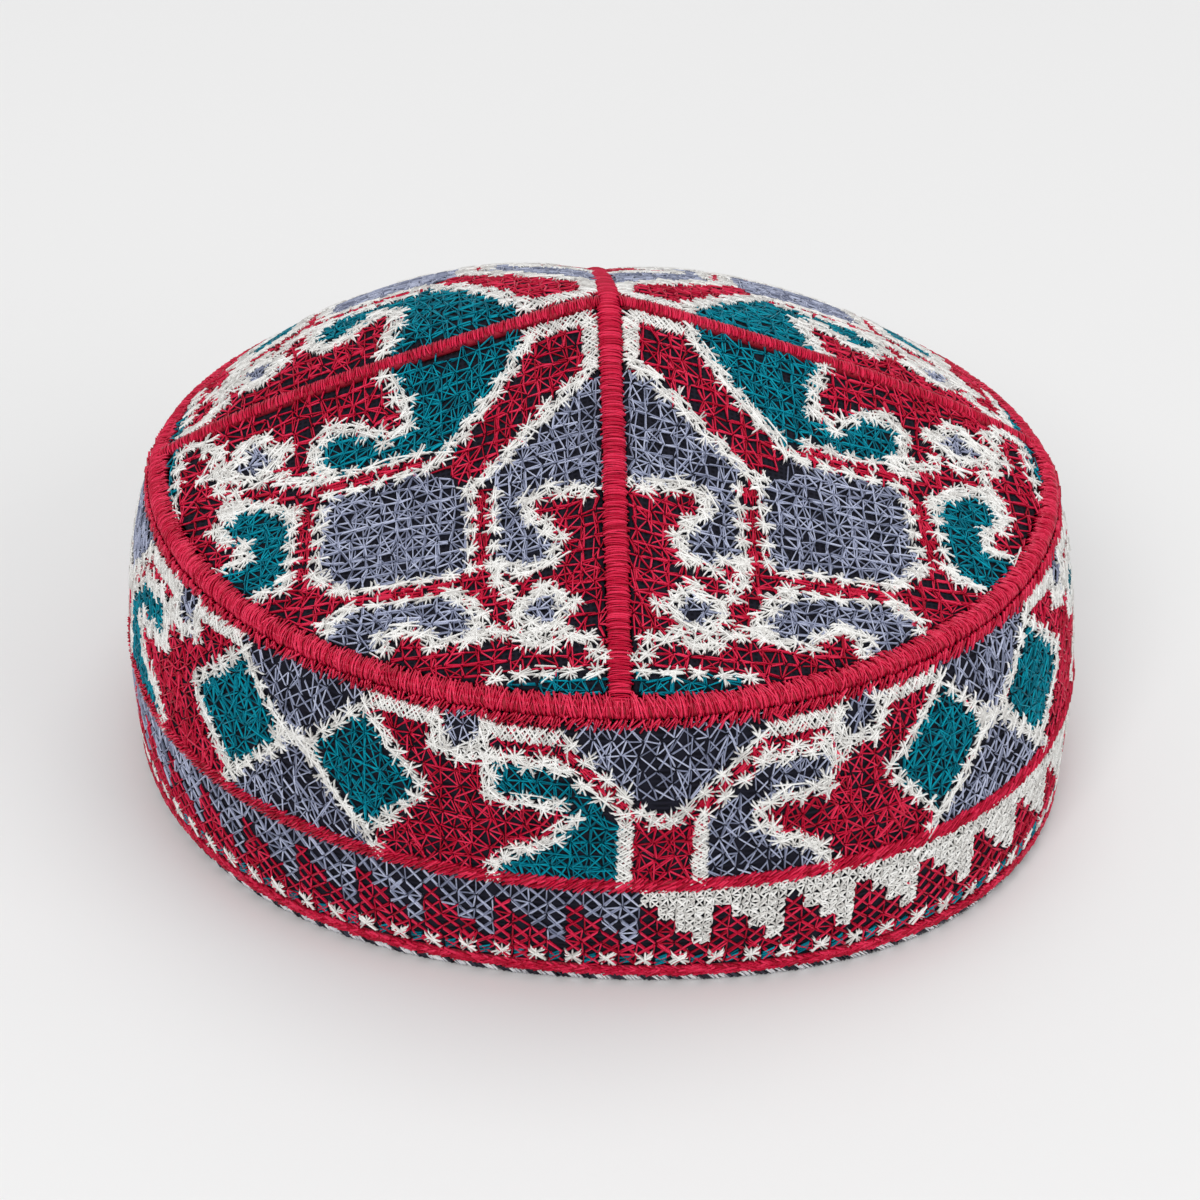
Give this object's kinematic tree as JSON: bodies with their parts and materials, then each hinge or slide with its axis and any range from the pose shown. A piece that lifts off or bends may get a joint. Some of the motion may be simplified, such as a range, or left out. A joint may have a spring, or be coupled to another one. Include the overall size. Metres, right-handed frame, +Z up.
{
  "type": "embroidered afghan cap",
  "caption": "Low tent-shaped embroidered cloth cap: domed crown of gores joined by satin ribs over a straight side band, open below for the head.",
  "frame": {"origin": "centre of the cap's footprint, in the plane that the hem rests on", "axes": "+Z up through the apex of the crown, -Y to the front seam, +X to the right of someone who faces the front"},
  "size_m": [0.1944, 0.191, 0.0971],
  "materials": {
    "crown_cloth": "dark ground cloth under an open net of crimson, cream, slate and teal thread",
    "band_cloth": "dark ground cloth under an open net of crimson, cream, slate and teal thread",
    "crimson_satin": "glossy satin stitch in crimson thread",
    "crimson_chain": "chain stitch in crimson thread",
    "hem_whipping": "black and white whip stitches round a cloth hem"
  },
  "bodies": {
    "root": {"crown_panel_front_left": "crown_cloth", "crown_panel_front_right": "crown_cloth", "crown_panel_back_left": "crown_cloth", "crown_panel_back_right": "crown_cloth", "crown_rib_front_back": "crimson_satin", "crown_rib_left": "crimson_satin", "crown_rib_right": "crimson_satin", "crown_edge_piping": "crimson_satin", "side_band": "band_cloth", "band_line_cord": "crimson_chain", "hem_line_cord": "crimson_chain", "hem_edging": "hem_whipping"}
  },
  "joints": []
}
